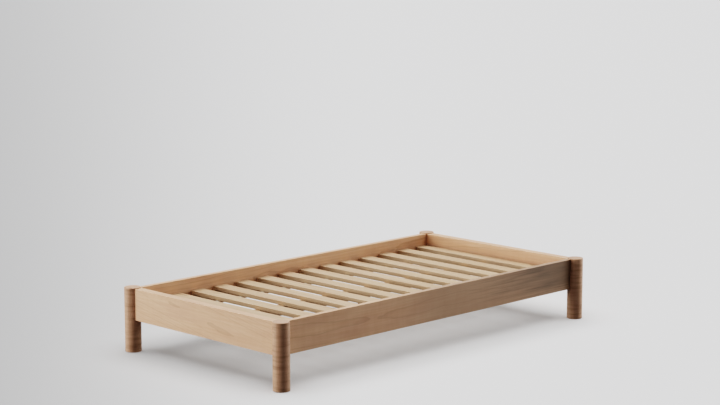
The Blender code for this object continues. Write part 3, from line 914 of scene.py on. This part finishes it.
# The shaded fan is painted shade in the floor's colour, darker on the left of the view.
FAN_DISTANCE = 13.4                  # from the bed's middle to the point of the floor's shaded fan
FAN_START = 11.3                     # the fan has one width up to here, and widens beyond it
FAN_END = (24.0, 45.0)               # the fan fades away between these distances from the bed
FAN_SLOPES = (-0.02, 0.24)           # sideways over away, at its pale and its dark edge
FLOOR_PALE = rgb(0.650, 0.650, 0.655)
FLOOR_SHADE_PAINT = rgb(0.300, 0.300, 0.303)


def floor_paint():
    """Matt pale grey that fades to a darker grey on the left of the view: painted shade. It also glows
    faintly, as painted light.
    """
    shader = Shader("studio_floor")
    parts = shader.split(shader.place())
    leftward = shader.math("SUBTRACT", 0.0, shader.math("ADD", parts[0], parts[1]))
    away = shader.math("ADD", shader.math("SUBTRACT", parts[1], parts[0]), FAN_DISTANCE)
    spread = shader.math("DIVIDE", leftward, shader.math("MAXIMUM", away, FAN_START))
    shade = shader.math("MULTIPLY", shader.remap(spread, *FAN_SLOPES),
                        shader.remap(away, FAN_START / 4, FAN_START))
    reach = shader.add("ShaderNodeVectorMath", {0: shader.place()}, "Value", operation="LENGTH")
    shade = shader.math("MULTIPLY", shade, shader.remap(reach, *FAN_END, 1.0, 0.0))
    # Painted shade: the floor's colour darkens along the fan.
    colour = shader.mix(shade, FLOOR_PALE, FLOOR_SHADE_PAINT)
    return shader.finish(Base_Color=colour, Roughness=0.9, Emission_Color=rgb(1.0, 1.0, 1.0),
                         Emission_Strength=FLOOR_GLOW)


def make_stage():
    """A pale floor that fills the view, plain but for its painted shade and faint painted glow."""
    builder = bmesh.new()
    bmesh.ops.create_circle(builder, cap_ends=True, segments=STAGE_SIDES, radius=STAGE_RADIUS)
    mesh = bpy.data.meshes.new("studio_floor")
    builder.to_mesh(mesh)
    builder.free()
    mesh.materials.append(floor_paint())
    floor = bpy.data.objects.new("studio_floor", mesh)
    bpy.context.scene.collection.objects.link(floor)
    floor.visible_diffuse = False
    return floor


WASH_SPREAD = 80                     # spreads are in degrees
WASH_STRENGTH = 3.42
BOUNCE_SPREAD = 30
BOUNCE_STRENGTH = 0.6
SURROUND_GREY = 0.66                 # in reflections
HORIZON_GREY = 0.79
VIEW_LOOK = "Very High Contrast"
# Name, azimuth, distance from the bed, height of the panel's middle, its width, its height, power
LIGHTS = (
    ("key", -30, 11.0, 2.5, 4.4, 4.8, 530),
    ("low_key", -40, 11.0, 0.5, 6.0, 1.0, 230),
    ("high_key", -40, 6.4, 7.7, 4.4, 4.4, 300),
    ("rim", 160, 11.0, 2.5, 4.4, 4.8, 470),
    ("low_rim", 145, 11.0, 0.4, 6.0, 0.8, 75),
    ("high_rim", 140, 6.4, 7.7, 4.4, 4.4, 300),
    ("back", 225, 6.4, 7.7, 4.4, 4.4, 290),
    ("front", 45, 6.4, 7.7, 4.4, 4.4, 110),
)


def make_light(receivers, name, azimuth, distance, height, width, tall, power):
    """Add a soft panel that faces the bed. Azimuth 0 is the foot side and 90 the right."""
    turn = math.radians(azimuth)
    place = Vector((math.sin(turn) * distance, -math.cos(turn) * distance, height))
    data = bpy.data.lights.new(name, "AREA")
    data.shape = "RECTANGLE"
    data.size = width
    data.size_y = tall
    data.energy = power
    light = bpy.data.objects.new(name, data)
    light.location = place
    light.rotation_mode = "QUATERNION"
    light.rotation_quaternion = place.to_track_quat("Z", "Y")
    light.visible_camera = False
    light.light_linking.receiver_collection = receivers
    bpy.context.scene.collection.objects.link(light)


def make_sun(receivers, name, strength, spread, tilt=0.0):
    """Light the receivers evenly from straight above, or from below with a tilt of half a turn."""
    data = bpy.data.lights.new(name, "SUN")
    data.angle = math.radians(spread)
    data.energy = strength
    light = bpy.data.objects.new(name, data)
    light.location = (0, 0, 5)
    light.rotation_euler = (tilt, 0, 0)
    light.light_linking.receiver_collection = receivers
    bpy.context.scene.collection.objects.link(light)
    return light


def make_world():
    """A pale grey surround that meets the floor at the horizon without a line."""
    world = bpy.data.worlds.new("surround")
    world.use_nodes = True
    nodes = world.node_tree.nodes
    ray = nodes.new("ShaderNodeLightPath")
    shade = nodes.new("ShaderNodeMapRange")
    shade.inputs["To Min"].default_value = SURROUND_GREY
    shade.inputs["To Max"].default_value = HORIZON_GREY
    world.node_tree.links.new(ray.outputs["Is Camera Ray"], shade.inputs["Value"])
    world.node_tree.links.new(shade.outputs["Result"], nodes["Background"].inputs["Color"])
    world.cycles_visibility.diffuse = False
    bpy.context.scene.world = world


def group(name, objects):
    """Return a collection of the objects that a light is meant for."""
    collection = bpy.data.collections.new(name)
    for obj in objects:
        collection.objects.link(obj)
    return collection


def make_studio():
    """Floor, lights and surround. The bed and the floor are lit apart, as on a studio table."""
    bed = group("bed", [obj for obj in bpy.data.objects if obj.type == "MESH"])
    floor = group("floor", [make_stage()])
    for light in LIGHTS:
        make_light(bed, *light)
    make_sun(floor, "floor_wash", WASH_STRENGTH, WASH_SPREAD)
    # The floor throws light back up, but doesn't stand in the way of the lamp that stands for it.
    bounce = make_sun(bed, "floor_bounce", BOUNCE_STRENGTH, BOUNCE_SPREAD, math.pi)
    bounce.light_linking.blocker_collection = bed
    make_world()
    bpy.context.scene.view_settings.view_transform = "Filmic"
    bpy.context.scene.view_settings.look = VIEW_LOOK


make_camera()
make_timber()
make_fittings()
make_straps()
make_studio()
